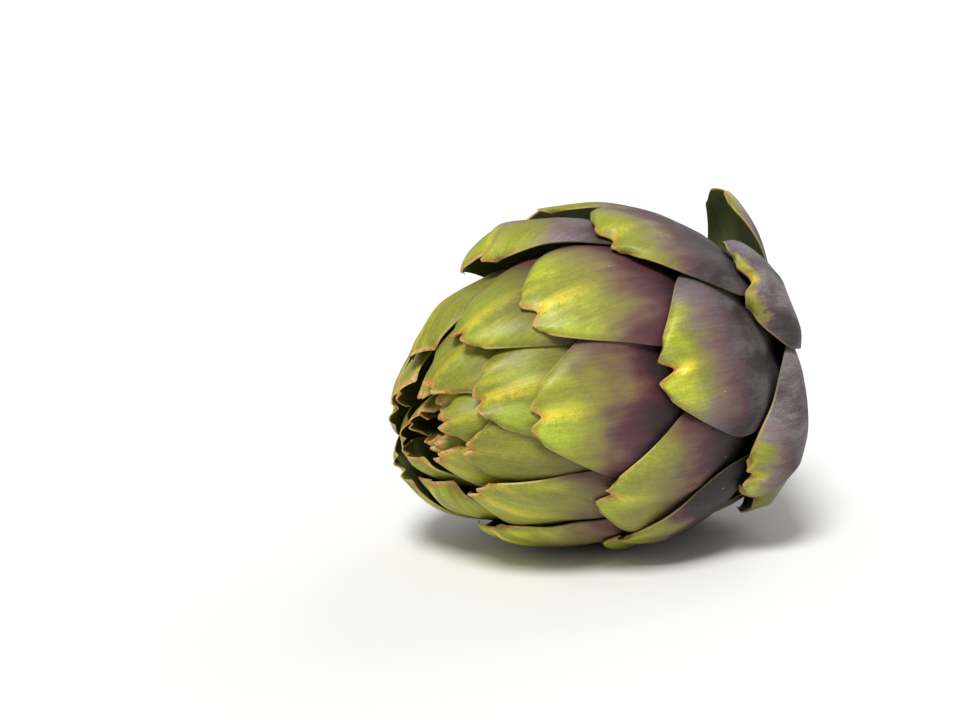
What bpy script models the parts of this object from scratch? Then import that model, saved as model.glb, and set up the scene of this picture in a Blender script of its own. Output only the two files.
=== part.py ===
"""A globe artichoke as picked, lying on its side with its tip towards -X and +Z up.

The head is a heart, grown in one with its short cut stem and its choke, and bracts set round it
on a golden-angle spiral, numbered from 1, the outermost, inwards. A place on the head is given by
its roll about the axis, its station (the distance along the head's outline from the stem) and its
height (the distance out from that outline). Lengths are metres unless a name says millimetres.
"""

import math
from dataclasses import dataclass

import bmesh
import bpy
import numpy as np

MM = 0.001

# Driving dimensions.
HEAD_LENGTH = 127 * MM
HEAD_RADIUS = 43.3 * MM
BRACT_COUNT = 40
BRACT_WIDTH = 52 * MM
BASE_THICKNESS = 2.4 * MM
TIP_THICKNESS = 1.2 * MM
LAYER_GAP = 0.6 * MM

# Pose on the surface it lies on, and how far the head is pressed out of round by lying there.
NOSE_DOWN = math.radians(2)
SHARE_ABOVE = 0.97
SHARE_BELOW = 0.87
NOSE = (80 * MM, 125 * MM)
FLAT_DEPTH = 1.15 * MM
THINNEST_FLAT = 0.4 * MM

# The spiral.
GOLDEN_ANGLE = 137.5
FIRST_ROLL = 98.5

# Head outline under the outermost bracts: shares of the head's length and radius.
HEAD_OUTLINE = (
    (0.01, 0.19), (0.03, 0.33), (0.06, 0.49), (0.11, 0.67), (0.17, 0.83), (0.25, 0.94),
    (0.34, 0.99), (0.44, 1.00), (0.54, 0.98), (0.64, 0.93), (0.72, 0.855), (0.81, 0.76),
    (0.88, 0.665), (0.94, 0.585), (1.00, 0.52),
)

# Stem, heart and the choke on it, grown as one: millimetres along the axis and out from it.
HEART_OUTLINE = (
    (-2.0, 8.6), (-1.4, 9.0), (5, 9.0), (9, 10.5), (13, 13), (18, 16), (24, 18), (30, 18.2),
    (36, 17), (46, 14.5), (58, 11.5), (68, 8.5), (74, 5.5),
)
HEART_TOP = 77

# Grids.
ROLL_STEPS = 240
STATION_STEP = 1.25 * MM
BRACT_ROWS = 10
WIDE_COLUMNS = 9
NARROW_COLUMNS = 7
FIRST_NARROW = 21
TURNED_STEPS = 28


# Rules of growth: (bract number, value) points, joined by straight lines. Lengths in millimetres.
TIP_ALONG = (
    (1, 29), (2, 33), (4, 39), (7, 50), (9, 64), (12, 75), (15, 90), (17, 101), (20, 110),
    (23, 118), (26, 122), (28, 126), (30, 129), (34, 131), (40, 129),
)
BASE_STATION = ((1, 2.5), (4, 4), (7, 6.5), (10, 11), (17, 20), (24, 29), (34, 38), (40, 42))
WIDTH_SHARE = (
    (1, 0.77), (4, 0.96), (7, 1.04), (17, 1.0), (22, 0.81), (28, 0.67), (34, 0.58), (40, 0.34),
)
WAIST_SHARE = ((1, 0.4), (10, 0.5), (20, 0.58))
TIP_HALF_WIDTH = ((1, 3), (12, 4), (20, 4.6), (28, 5.5), (34, 6), (40, 3))
TAPER = ((1, 26), (12, 30), (20, 38), (40, 34))
REST_HEIGHT = (
    (1, 0), (7, -0.5), (18, -3), (22, -2.5), (28, -3.5), (33, -7), (36, -13.5), (40, -20.5),
)
BULGE = ((1, 5), (12, 5.5), (20, 5), (28, 4.5), (40, 4))
EXTRA_CURL = ((20, 0), (28, 2.5), (34, 3.5), (40, 0))
NOTCH = ((18, 3.2), (28, 1.7))
LOBE_SHARE = ((17, 0.62), (22, 0.42), (28, 0.3))
SHOULDER_SHARE = ((17, 0.45), (22, 0.2), (28, 0.1))
CORNER_SHARE = ((18, 0.36), (28, 0.6))
SUNK_SHARE = ((33, 0.6), (40, 0.9))
LEAST_RADIUS = ((33, 13), (40, 7))
TIP_SKEW = 0.7 * MM


@dataclass(frozen=True)
class Habit:
    """How one bract departs from the spiral's rule; angles in degrees, lengths in millimetres."""

    turn: float = 0.0
    reach: float = 0.0
    lift: float = 0.0
    lift_from: float = 0.3
    raised: float = 0.0
    curl: float = 2.2
    notch: float = 0.0
    bulge: float = 0.0
    lean: float = 0.0
    tilt: float = 0.0
    taper: float = 0.0
    waist: float = 0.0
    half_width: float = 0.0
    tip_half_width: float = 0.0


HABITS = {
    1: Habit(turn=-8, reach=-3, lift=11, curl=0, half_width=16.5),
    2: Habit(turn=-21, reach=-0.5, lift=6.5, half_width=17),
    4: Habit(turn=-0.5, reach=2, half_width=19, tip_half_width=6, notch=4.5, bulge=2, lean=1,
             taper=16),
    5: Habit(raised=5.5),
    6: Habit(turn=-2, reach=12.5, lift=10.5, lift_from=0.35, curl=-0.5, tip_half_width=4.5),
    7: Habit(turn=-18, reach=-1, raised=1, half_width=29, bulge=4, lean=2),
    9: Habit(turn=-4.5, reach=7, lift=2.5, raised=1.5, curl=5, tip_half_width=5, lean=2),
    10: Habit(turn=3, reach=12, raised=-1),
    12: Habit(turn=-6, reach=2, notch=6, half_width=25, tip_half_width=4.5, lean=3, waist=0.72),
    13: Habit(raised=1),
    14: Habit(turn=-1, reach=9.5, lift=9, curl=6, notch=7, tip_half_width=6.5),
    15: Habit(reach=1),
    17: Habit(turn=-3.5, reach=1.5, lift=2.5, lift_from=0.4, raised=1.5, half_width=22.5,
              lean=3, tilt=-2.5),
    18: Habit(reach=4, raised=5, curl=3),
    19: Habit(turn=12, reach=-5, curl=4),
    20: Habit(turn=6),
    21: Habit(turn=-1, reach=10, raised=2.5, curl=4),
    22: Habit(turn=-22, reach=3, lift=2.5, lift_from=0.45, raised=1.5, tilt=-2),
    23: Habit(turn=-1, reach=2),
    24: Habit(turn=5, reach=3, curl=4),
    25: Habit(turn=-11, reach=1),
    26: Habit(turn=-4, reach=1, raised=0.5, curl=6, tip_half_width=7.5),
    27: Habit(turn=-2, reach=-3),
    28: Habit(turn=6, reach=-1),
    29: Habit(reach=-2, curl=5),
    30: Habit(turn=-5, curl=5, half_width=20, tip_half_width=8.5),
    31: Habit(turn=25, raised=-4, curl=4, tip_half_width=8),
    32: Habit(reach=-4),
    33: Habit(reach=-0.5, curl=3),
    35: Habit(reach=-2, curl=4),
    38: Habit(reach=-2, raised=5, curl=5, tip_half_width=7),
    39: Habit(curl=1.5),
    40: Habit(curl=0.5),
}


def smooth_step(value, start, end):
    """Go from 0 at start to 1 at end, level at both."""
    share = np.clip((value - start) / (end - start), 0, 1)
    return share * share * (3 - 2 * share)


def read_rule(rule, number):
    """Read a rule of growth at one bract's number."""
    places, values = zip(*rule)
    return float(np.interp(number, places, values))


def smooth_curve(points, count):
    """Run a Catmull-Rom curve through the points, evenly resampled; returns it and its length."""
    before_first = 2 * points[0] - points[1]
    after_last = 2 * points[-1] - points[-2]
    knots = np.vstack([before_first, points, after_last])
    share = np.linspace(0, 1, 20, endpoint=False)[:, None]
    runs = []
    for before, start, end, after in zip(knots, knots[1:], knots[2:], knots[3:]):
        linear = end - before
        square = 2 * before - 5 * start + 4 * end - after
        cube = 3 * start - before - 3 * end + after
        runs.append(start + 0.5 * (linear * share + square * share**2 + cube * share**3))
    dense = np.vstack(runs + [points[-1:]])
    steps = np.linalg.norm(np.diff(dense, axis=0), axis=1)
    places = np.concatenate([[0], np.cumsum(steps)])
    even = np.linspace(0, places[-1], count)
    curve = np.stack([np.interp(even, places, dense[:, axis]) for axis in (0, 1)], axis=1)
    return curve, places[-1]


class Outline:
    """The head's outline: turns a station and a height into a place along and out from the axis."""

    POINTS = 300
    SMOOTHING = 40

    def __init__(self):
        scale = np.array([HEAD_LENGTH, HEAD_RADIUS])
        self.curve, self.length = smooth_curve(np.array(HEAD_OUTLINE) * scale, self.POINTS)
        self.stations = np.linspace(0, self.length, self.POINTS)
        tangent = np.gradient(self.curve, axis=0)
        for _ in range(self.SMOOTHING):
            tangent[1:-1] = (tangent[:-2] + tangent[1:-1] + tangent[2:]) / 3
        self.tangent = tangent / np.linalg.norm(tangent, axis=1)[:, None]

    def read(self, table, station):
        """Read one column of a table along the outline."""
        return np.interp(station, self.stations, table)

    def radius(self, station):
        """Radius of the outline at a station; past its end it goes straight on."""
        beyond = station - np.clip(station, 0, self.length)
        return self.read(self.curve[:, 1], station) + beyond * self.read(self.tangent[:, 1], station)

    def place(self, station, height):
        """Give the distance along the axis and the radius of a place."""
        beyond = station - np.clip(station, 0, self.length)
        slope_along = self.read(self.tangent[:, 0], station)
        slope_out = self.read(self.tangent[:, 1], station)
        along = self.read(self.curve[:, 0], station) + beyond * slope_along - height * slope_out
        out = self.radius(station) + height * slope_along
        return along, np.maximum(out, 0.3 * MM)

    def station_of(self, along):
        """Find the station whose outline point is this far along the axis."""
        if along <= HEAD_LENGTH:
            return float(np.interp(along, self.curve[:, 0], self.stations))
        return self.length + (along - HEAD_LENGTH) * 1.1


class Envelope:
    """The height of what is already on the head, over a grid of roll and station."""

    DEEPEST = 60 * MM

    def __init__(self, outline):
        self.outline = outline
        count = int(outline.length / STATION_STEP) + 18
        core = np.array([self.core_height(row * STATION_STEP) for row in range(count)])
        core[1:-1] = np.maximum(core[1:-1], np.maximum(core[:-2], core[2:]))
        self.core = core
        self.height = np.tile(self.core, (ROLL_STEPS, 1))

    def core_height(self, station):
        """Go inwards from the outline to the heart, or to the axis past its top."""
        depth = np.linspace(0, self.DEEPEST, 1200)
        along, out = self.outline.place(station, -depth)
        heart = np.array(HEART_OUTLINE + ((HEART_TOP, 0.5),)) * MM
        inside = (out < np.interp(along, heart[:, 0], heart[:, 1], right=0)) | (out < 1 * MM)
        return -depth[np.argmax(inside)] if inside.any() else -self.DEEPEST

    def above(self, roll, station):
        """Height of the surface at each place, between the grid's points."""
        across = np.mod(roll, 360) / 360 * ROLL_STEPS
        down = np.clip(station / STATION_STEP, 0, self.height.shape[1] - 1.001)
        column = np.floor(across).astype(int)
        row = down.astype(int)
        part_across = across - column
        part_down = down - row
        here = column % ROLL_STEPS
        there = (column + 1) % ROLL_STEPS
        near = self.height[here, row] * (1 - part_across) + self.height[there, row] * part_across
        far = self.height[here, row + 1] * (1 - part_across)
        far = far + self.height[there, row + 1] * part_across
        return near * (1 - part_down) + far * part_down

    def cover(self, roll, station, height):
        """Raise the envelope to a sheet given by its grid of places."""
        finer = 12
        across = refine(roll, finer) / 360 * ROLL_STEPS
        down = refine(station, finer) / STATION_STEP
        fine_height = refine(height, finer)
        for round_across in (np.floor, np.ceil):
            for round_down in (np.floor, np.ceil):
                columns = round_across(across).astype(int) % ROLL_STEPS
                rows = np.clip(round_down(down).astype(int), 0, self.height.shape[1] - 1)
                np.maximum.at(self.height, (columns, rows), fine_height)


def refine(grid, parts):
    """Add points between the rows and columns of a grid."""
    for _ in range(2):
        count = grid.shape[0]
        place = np.linspace(0, count - 1, (count - 1) * parts + 1)
        row = np.minimum(place.astype(int), count - 2)
        part = (place - row)[:, None]
        grid = (grid[row] * (1 - part) + grid[row + 1] * part).T
    return grid


class Bract:
    """One bract: a grid of places from base to tip, with its outer height and its thickness."""

    def __init__(self, number, outline):
        habit = HABITS.get(number, Habit())
        self.number = number
        self.outline = outline
        self.roll = FIRST_ROLL - GOLDEN_ANGLE * (number - 1) + habit.turn
        tip_along = read_rule(TIP_ALONG, number) + habit.reach
        self.base = read_rule(BASE_STATION, number) * MM
        self.length = outline.station_of(tip_along * MM) - self.base
        self.waist = habit.waist or read_rule(WAIST_SHARE, number)
        self.half_width = habit.half_width * MM
        if not habit.half_width:
            self.half_width = read_rule(WIDTH_SHARE, number) * BRACT_WIDTH / 2
        self.tip_half_width = (habit.tip_half_width or read_rule(TIP_HALF_WIDTH, number)) * MM
        self.taper = (habit.taper or read_rule(TAPER, number)) * MM
        self.rest = (read_rule(REST_HEIGHT, number) + habit.raised) * MM
        self.bulge = (read_rule(BULGE, number) + habit.bulge) * MM
        self.curl = (read_rule(EXTRA_CURL, number) + habit.curl) * MM
        self.notch = (habit.notch or read_rule(NOTCH, number)) * MM
        self.lobe = read_rule(LOBE_SHARE, number)
        self.shoulder = read_rule(SHOULDER_SHARE, number)
        self.skew = TIP_SKEW * math.sin(number * 2.4)
        self.corner = read_rule(CORNER_SHARE, number) * self.tip_half_width
        self.habit = habit
        columns = WIDE_COLUMNS if number < FIRST_NARROW else NARROW_COLUMNS
        across = np.linspace(-1, 1, columns)
        along = 1 - (1 - np.linspace(0, 1, BRACT_ROWS)) ** 1.3
        self.across, self.along = np.meshgrid(across, along)

    def side(self):
        """Half width at each grid point: rounded at the tip, widest past the taper."""
        from_tip = (1 - self.along) * self.length
        share = np.clip(from_tip / self.taper, 0, 1)
        swell = 1.45 * share - 0.45 * share**2.9
        narrowing = 1 - (1 - self.waist) * smooth_step(from_tip, self.taper, self.length)
        full = self.half_width - self.tip_half_width
        return (self.tip_half_width + full * swell) * narrowing

    def lay_out(self):
        """Roll and station of each grid point, with two round lobes about a notch."""
        reach = np.abs(self.across)
        cut = self.notch * (1 - smooth_step(reach, 0, self.lobe)) - self.skew * self.across
        past_shoulder = np.clip((reach - self.shoulder) / (1 - self.shoulder), 0, 1)
        rounding = self.corner * past_shoulder**2
        near = smooth_step(self.along, 1 - 2.4 * self.notch / self.length, 1)
        end = smooth_step(self.along, 1 - 2.4 * self.corner / self.length, 1)
        self.station = self.base + self.length * self.along - cut * near - rounding * end
        sunk = read_rule(SUNK_SHARE, self.number) * self.rest
        least = read_rule(LEAST_RADIUS, self.number) * MM
        around = np.maximum(self.outline.radius(self.station) + sunk, least)
        body = smooth_step(self.along, 1, 1 - 0.7 * self.taper / self.length)
        lateral = self.across * self.side() + self.habit.lean * MM * body
        self.rolls = self.roll + np.degrees(lateral / around)

    def shape(self, core):
        """Thickness and free height: up from the heart, bulging, lifted and curled at the tip."""
        across, along, habit = self.across, self.along, self.habit
        thickness = BASE_THICKNESS * (1 - along) + TIP_THICKNESS * along
        thickness = thickness * (1 - 0.45 * np.abs(across) ** 3)
        self.thickness = thickness * (1 - 3 * np.maximum(along - 0.9, 0))
        start = np.interp(self.base, np.arange(len(core)) * STATION_STEP, core)
        rise = smooth_step(along, -0.1, 0.6)
        height = (start + 0.6 * BASE_THICKNESS) * (1 - rise) + self.rest * rise
        crown = smooth_step(along, 0.35, 0.75) * (1 - 0.25 * smooth_step(along, 0.8, 1))
        height = height + self.bulge * (1 - np.abs(across) ** 2.2) * crown
        height = height + habit.tilt * MM * across * smooth_step(along, 0.2, 0.8)
        height = height + 1.35 * habit.lift * MM * smooth_step(along, habit.lift_from, 1.15)
        tip_curl = np.clip((along - 0.83) / 0.17, 0, 1) ** 2 * (1 - 0.3 * np.abs(across))
        self.height = height - self.curl * tip_curl

    def facet_heights(self, finer):
        """Height of the flat facets between the grid points, which cut the head's curves short."""
        rolls = refine(self.rolls, finer)
        station = refine(self.station, finer)
        height = refine(self.height, finer)
        curved = point_on_head(rolls, station, height, self.outline)
        outwards = point_on_head(rolls, station, height + MM, self.outline) - curved
        corners = point_on_head(self.rolls, self.station, self.height, self.outline)
        flat = np.stack([refine(corners[..., axis], finer) for axis in range(3)], axis=-1)
        return height + ((flat - curved) * outwards).sum(axis=-1) / MM

    def settle(self, envelope):
        """Raise the sheet, smoothly, until it clears everything under it, and cover that."""
        finer = 6
        floor = envelope.above(refine(self.rolls, finer), refine(self.station, finer))
        floor = floor + LAYER_GAP + refine(self.thickness, finer)
        for _ in range(60):
            lack = np.maximum(floor - self.facet_heights(finer), 0)
            if lack.max() < 0.02 * MM:
                break
            self.height = self.height + 0.8 * spread(lack, finer, self.height.shape)
        envelope.cover(self.rolls, self.station, self.height)


def spread(lack, finer, shape):
    """Give each coarse point the most that is lacking around it, softened over its neighbours."""
    rows = np.arange(shape[0]) * finer
    columns = np.arange(shape[1]) * finer
    raised = np.zeros(shape)
    for down in range(1 - finer, finer):
        for right in range(1 - finer, finer):
            near_rows = np.clip(rows + down, 0, lack.shape[0] - 1)
            near_columns = np.clip(columns + right, 0, lack.shape[1] - 1)
            raised = np.maximum(raised, lack[near_rows][:, near_columns])
    for _ in range(3):
        edged = np.pad(raised, 1, mode="edge")
        mixed = edged[:-2, 1:-1] + edged[2:, 1:-1] + edged[1:-1, :-2] + edged[1:-1, 2:]
        raised = np.maximum(0.6 * raised, (mixed + 4 * raised) / 8)
    return raised


def point_on_head(roll, station, height, outline):
    """Turn places on the head into points, before the head is set down on its surface."""
    along, out = outline.place(station, height)
    return turn_about_axis(along, out, np.radians(roll))


def turn_about_axis(along, out, angle):
    """Turn places about the axis, press the head out of round and tip its nose down."""
    front = out * np.cos(angle)
    below = smooth_step(-np.sin(angle), 0, 1) * (1 - 0.7 * smooth_step(along, *NOSE))
    up = out * np.sin(angle) * (SHARE_ABOVE - (SHARE_ABOVE - SHARE_BELOW) * below)
    sine, cosine = math.sin(NOSE_DOWN), math.cos(NOSE_DOWN)
    return np.stack([-along * cosine - up * sine, -front, up * cosine - along * sine], axis=-1)


def grow_bracts(outline):
    """Lay the bracts on the core from the innermost outwards."""
    envelope = Envelope(outline)
    bracts = []
    for number in range(BRACT_COUNT, 0, -1):
        bract = Bract(number, outline)
        bract.lay_out()
        bract.shape(envelope.core)
        bract.settle(envelope)
        bracts.append(bract)
    return bracts


def find_set_down(sheets):
    """The move that puts the head's box over the origin, with its lowest bracts pressed flat."""
    along, out = np.array(HEART_OUTLINE[:3]).T * MM
    stem = [turn_about_axis(along, out, math.pi * share) for share in (0.5, 1.5)]
    points = np.vstack([sheet.reshape(-1, 3) for sheet in [*sheets, *stem]])
    low, high = points.min(axis=0), points.max(axis=0)
    middle = (low + high) / 2
    return np.array([-middle[0], -middle[1], -low[2] - FLAT_DEPTH])


def bract_object(bract, outer, inner, material):
    """Close a bract's outer and inner sheets into one solid."""
    rows, columns = bract.height.shape
    mesh = bmesh.new()
    bmesh.ops.create_grid(mesh, x_segments=columns - 1, y_segments=rows - 1, size=0.5)
    places = {}
    for vertex in mesh.verts:
        column = round((vertex.co.x + 0.5) * (columns - 1))
        row = round((vertex.co.y + 0.5) * (rows - 1))
        places[vertex] = (row, column)
    grown = bmesh.ops.extrude_face_region(mesh, geom=mesh.faces[:], use_keep_orig=True)
    copies = [item for item in grown["geom"] if isinstance(item, bmesh.types.BMVert)]
    corners = {(round(v.co.x, 5), round(v.co.y, 5)): place for v, place in places.items()}
    for vertex in copies:
        vertex.co = outer[corners[round(vertex.co.x, 5), round(vertex.co.y, 5)]]
    for vertex, place in places.items():
        vertex.co = inner[place]
    return finish_object(mesh, f"bract_{bract.number:02d}", material)


def heart_object(material, move):
    """Turn the heart's outline about the head's axis."""
    outline = [(HEART_OUTLINE[0][0], 0), *HEART_OUTLINE, (HEART_TOP, 0)]
    mesh = bmesh.new()
    side = [mesh.verts.new((out * MM, 0, along * MM)) for along, out in outline]
    edges = [mesh.edges.new(pair) for pair in zip(side, side[1:])]
    bmesh.ops.spin(
        mesh, geom=side + edges, cent=(0, 0, 0), axis=(0, 0, 1), angle=math.tau,
        steps=TURNED_STEPS, use_merge=True,
    )
    bmesh.ops.remove_doubles(mesh, verts=mesh.verts[:], dist=0.01 * MM)
    for vertex in mesh.verts:
        front, up, along = vertex.co
        turned = turn_about_axis(along, math.hypot(front, up), math.atan2(up, front))
        vertex.co = turned + move
    return finish_object(mesh, "heart", material)


def finish_object(mesh, name, material):
    """Make a smooth-shaded object of a closed bmesh, with its faces pointing out."""
    bmesh.ops.recalc_face_normals(mesh, faces=mesh.faces[:])
    if mesh.calc_volume(signed=True) < 0:
        bmesh.ops.reverse_faces(mesh, faces=mesh.faces[:])
    data = bpy.data.meshes.new(name)
    mesh.to_mesh(data)
    mesh.free()
    data.materials.append(material)
    data.shade_smooth()
    data.set_sharp_from_angle(angle=math.radians(50))
    thing = bpy.data.objects.new(name, data)
    bpy.context.collection.objects.link(thing)
    return thing


def plant_material(name, colour, roughness):
    """A matt plant surface."""
    material = bpy.data.materials.new(name)
    material.use_nodes = True
    shader = material.node_tree.nodes["Principled BSDF"]
    shader.inputs["Base Color"].default_value = (*colour, 1)
    shader.inputs["Roughness"].default_value = roughness
    shader.inputs["Metallic"].default_value = 0
    return material


def main():
    """Build the whole head."""
    for thing in list(bpy.data.objects):
        bpy.data.objects.remove(thing, do_unlink=True)
    outline = Outline()
    bracts = grow_bracts(outline)
    outer_sheets = []
    inner_sheets = []
    for bract in bracts:
        inside = bract.height - bract.thickness
        outer_sheets.append(point_on_head(bract.rolls, bract.station, bract.height, outline))
        inner_sheets.append(point_on_head(bract.rolls, bract.station, inside, outline))
    move = find_set_down(outer_sheets)
    outer_bract = plant_material("outer_bract", (0.17, 0.12, 0.10), 0.5)
    inner_bract = plant_material("inner_bract", (0.26, 0.30, 0.06), 0.5)
    for bract, outer, inner in zip(bracts, outer_sheets, inner_sheets):
        outer = outer + move
        inner = inner + move
        outer[..., 2] = np.maximum(outer[..., 2], 0)
        inner[..., 2] = np.maximum(inner[..., 2], THINNEST_FLAT)
        material = outer_bract if bract.number < FIRST_NARROW else inner_bract
        bract_object(bract, outer, inner, material)
    heart_object(plant_material("heart", (0.45, 0.50, 0.24), 0.6), move)


if __name__ == "__main__":
    main()
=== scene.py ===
"""A globe artichoke lying on its side, with every bract, the heart and the cut stem in full detail.

The head is a heart on a short cut stem, with bracts set round it on a golden-angle spiral and
numbered from 1, the outermost, inwards. A place on the head is given by its roll about the axis
(0 is the front, 90 the top), its station (the distance along the head's outline from the stem)
and its height (the distance out from that outline). Lengths are metres unless a note says
millimetres.
"""

import logging
import math
from dataclasses import dataclass, field
from enum import Enum
from functools import partial, reduce

import bmesh
import bpy
import numpy as np
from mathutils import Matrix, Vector


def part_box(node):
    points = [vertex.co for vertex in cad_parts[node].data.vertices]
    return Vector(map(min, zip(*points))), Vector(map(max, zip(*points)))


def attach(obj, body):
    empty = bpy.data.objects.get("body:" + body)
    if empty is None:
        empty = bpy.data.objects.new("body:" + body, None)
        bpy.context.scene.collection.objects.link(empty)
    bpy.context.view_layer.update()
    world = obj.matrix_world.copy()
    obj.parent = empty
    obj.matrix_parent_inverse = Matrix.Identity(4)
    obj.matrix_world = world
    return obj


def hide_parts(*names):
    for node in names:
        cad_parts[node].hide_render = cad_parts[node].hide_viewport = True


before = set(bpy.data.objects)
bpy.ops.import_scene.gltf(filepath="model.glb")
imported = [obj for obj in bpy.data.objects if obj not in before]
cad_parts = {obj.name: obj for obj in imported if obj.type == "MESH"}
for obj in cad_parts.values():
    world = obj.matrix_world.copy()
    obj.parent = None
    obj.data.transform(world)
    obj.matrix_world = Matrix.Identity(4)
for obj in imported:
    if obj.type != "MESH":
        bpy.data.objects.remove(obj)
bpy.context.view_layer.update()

MM = 0.001
ROOT = "root"
SHARP_ANGLE = math.radians(55)
Band = tuple[float, float]
Rule = tuple[Band, ...]
Colour = tuple[float, float, float]
Socket = bpy.types.NodeSocket
log = logging.getLogger("artichoke")

# Rules of growth: (bract number, value) points, joined by straight lines. Lengths in millimetres.
TIP_ALONG: Rule = (
    (1, 29), (2, 33), (4, 39), (7, 50), (9, 64), (12, 75), (15, 90), (17, 101), (20, 110),
    (23, 118), (26, 122), (28, 126), (30, 129), (34, 131), (40, 129),
)
BASE_STATION: Rule = (
    (1, 2.5), (4, 4), (7, 6.5), (10, 11), (17, 20), (24, 29), (34, 38), (40, 42),
)
WIDTH_SHARE: Rule = (
    (1, 0.77), (4, 0.96), (7, 1.04), (17, 1.0), (22, 0.81), (28, 0.67), (34, 0.58), (40, 0.34),
)
WAIST_SHARE: Rule = ((1, 0.4), (10, 0.5), (20, 0.58))
TIP_HALF_WIDTH: Rule = ((1, 3), (12, 4), (20, 4.6), (28, 5.5), (34, 6), (40, 3))
TAPER: Rule = ((1, 26), (12, 30), (20, 38), (40, 34))
REST_HEIGHT: Rule = (
    (1, 0), (7, -0.5), (18, -3), (22, -2.5), (28, -3.5), (33, -7), (36, -13.5), (40, -20.5),
)
BULGE: Rule = ((1, 5), (12, 5.5), (20, 5), (28, 4.5), (40, 4))
EXTRA_CURL: Rule = ((20, 0), (28, 2.5), (34, 3.5), (40, 0))
NOTCH: Rule = ((18, 3.2), (28, 1.7))
LOBE_SHARE: Rule = ((17, 0.62), (22, 0.42), (28, 0.3))
SHOULDER_SHARE: Rule = ((17, 0.45), (22, 0.2), (28, 0.1))
CORNER_SHARE: Rule = ((18, 0.36), (28, 0.6))
RAGGEDNESS: Rule = ((1, 0.1), (18, 0.12), (24, 0.2), (40, 0.3))
SUNK_SHARE: Rule = ((33, 0.6), (40, 0.9))
LEAST_RADIUS: Rule = ((33, 13), (40, 7))

# Rules of colour: how far green reaches from the tip, in millimetres, and three shares.
GREEN_REACH: Rule = ((1, 12), (4, 11), (9, 22), (12, 20), (15, 26), (20, 28), (26, 38), (34, 70))
# The keel's share sets its yellow, partly a painted highlight, and the strength of the painted
# highlight patches.
KEEL_SHARE: Rule = ((1, 0.35), (9, 0.5), (20, 0.7), (25, 0.85), (28, 0.35), (40, 0.3))
# The bloom's share: partly the real waxy bloom, partly painted sheen where light falls from above.
BLOOM_AND_SHEEN_SHARE: Rule = ((1, 0.9), (7, 0.75), (10, 0.3), (13, 0.1), (20, 0.05), (30, 0.02))
RIM_SHARE: Rule = ((1, 0.25), (10, 0.5), (22, 0.7), (27, 1.0), (30, 1.7), (40, 1.9))


def smooth_step(value: np.ndarray | float, start: float, end: float) -> np.ndarray:
    """Go from 0 at start to 1 at end, level at both.

    Args:
        value: Where to read the step.
        start: Where it leaves 0.
        end: Where it reaches 1.

    Returns:
        The step at each value.
    """
    share = np.clip((np.asarray(value) - start) / (end - start), 0, 1)
    return share * share * (3 - 2 * share)


def read_rule(rule: Rule, number: int) -> float:
    """Read a rule of growth at one bract's number.

    Args:
        rule: Listed (number, value) points, joined by straight lines.
        number: The bract's number.

    Returns:
        The value for that bract.
    """
    places, values = zip(*rule)
    return float(np.interp(number, places, values))


def ripple(across: np.ndarray, along: np.ndarray, seed: float) -> np.ndarray:
    """Give a smooth irregular wave between about -1 and 1, as a sum of sines out of step.

    Args:
        across: First coordinate, in wavelengths.
        along: Second coordinate, in wavelengths.
        seed: Any number; each gives another wave.

    Returns:
        The wave at each point.
    """
    wave = np.zeros(np.broadcast(across, along).shape)
    for step in range(1, 6):
        bend = 2.4 * math.sin(seed * 1.7 + step * 2.1)
        phase = seed * 3.1 + step * 5.3
        turn = math.cos(seed + step * 1.3)
        wave = wave + np.sin(math.tau * (across * turn + along * bend * 0.5) + phase) / step
    return wave / 2.3


@dataclass(frozen=True)
class Habit:
    """How one bract departs from the spiral's rule; angles in degrees, lengths in millimetres."""

    turn: float = 0.0
    reach: float = 0.0
    lift: float = 0.0
    lift_from: float = 0.3
    raised: float = 0.0
    curl: float = 2.2
    notch: float = 0.0
    bulge: float = 0.0
    lean: float = 0.0
    tilt: float = 0.0
    taper: float = 0.0
    waist: float = 0.0
    half_width: float = 0.0
    tip_half_width: float = 0.0


HABITS = {
    1: Habit(turn=-8, reach=-3, lift=11, curl=0, half_width=16.5),
    2: Habit(turn=-21, reach=-0.5, lift=6.5, half_width=17),
    4: Habit(turn=-0.5, reach=2, half_width=19, tip_half_width=6, notch=4.5, bulge=2, lean=1,
             taper=16),
    5: Habit(raised=5.5),
    6: Habit(turn=-2, reach=12.5, lift=10.5, lift_from=0.35, curl=-0.5, tip_half_width=4.5),
    7: Habit(turn=-18, reach=-1, raised=1, half_width=29, bulge=4, lean=2),
    9: Habit(turn=-4.5, reach=7, lift=2.5, raised=1.5, curl=5, tip_half_width=5, lean=2),
    10: Habit(turn=3, reach=12, raised=-1),
    12: Habit(turn=-6, reach=2, notch=6, half_width=25, tip_half_width=4.5, lean=3, waist=0.72),
    13: Habit(raised=1),
    14: Habit(turn=-1, reach=9.5, lift=9, curl=6, notch=7, tip_half_width=6.5),
    15: Habit(reach=1),
    17: Habit(turn=-3.5, reach=1.5, lift=2.5, lift_from=0.4, raised=1.5, half_width=22.5,
              lean=3, tilt=-2.5),
    18: Habit(reach=4, raised=5, curl=3),
    19: Habit(turn=12, reach=-5, curl=4),
    20: Habit(turn=6),
    21: Habit(turn=-1, reach=10, raised=2.5, curl=4),
    22: Habit(turn=-22, reach=3, lift=2.5, lift_from=0.45, raised=1.5, tilt=-2),
    23: Habit(turn=-1, reach=2),
    24: Habit(turn=5, reach=3, curl=4),
    25: Habit(turn=-11, reach=1),
    26: Habit(turn=-4, reach=1, raised=0.5, curl=6, tip_half_width=7.5),
    27: Habit(turn=-2, reach=-3),
    28: Habit(turn=6, reach=-1),
    29: Habit(reach=-2, curl=5),
    30: Habit(turn=-5, curl=5, half_width=20, tip_half_width=8.5),
    31: Habit(turn=25, raised=-4, curl=4, tip_half_width=8),
    32: Habit(reach=-4),
    33: Habit(reach=-0.5, curl=3),
    35: Habit(reach=-2, curl=4),
    38: Habit(reach=-2, raised=5, curl=5, tip_half_width=7),
    39: Habit(curl=1.5),
    40: Habit(curl=0.5),
}


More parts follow.
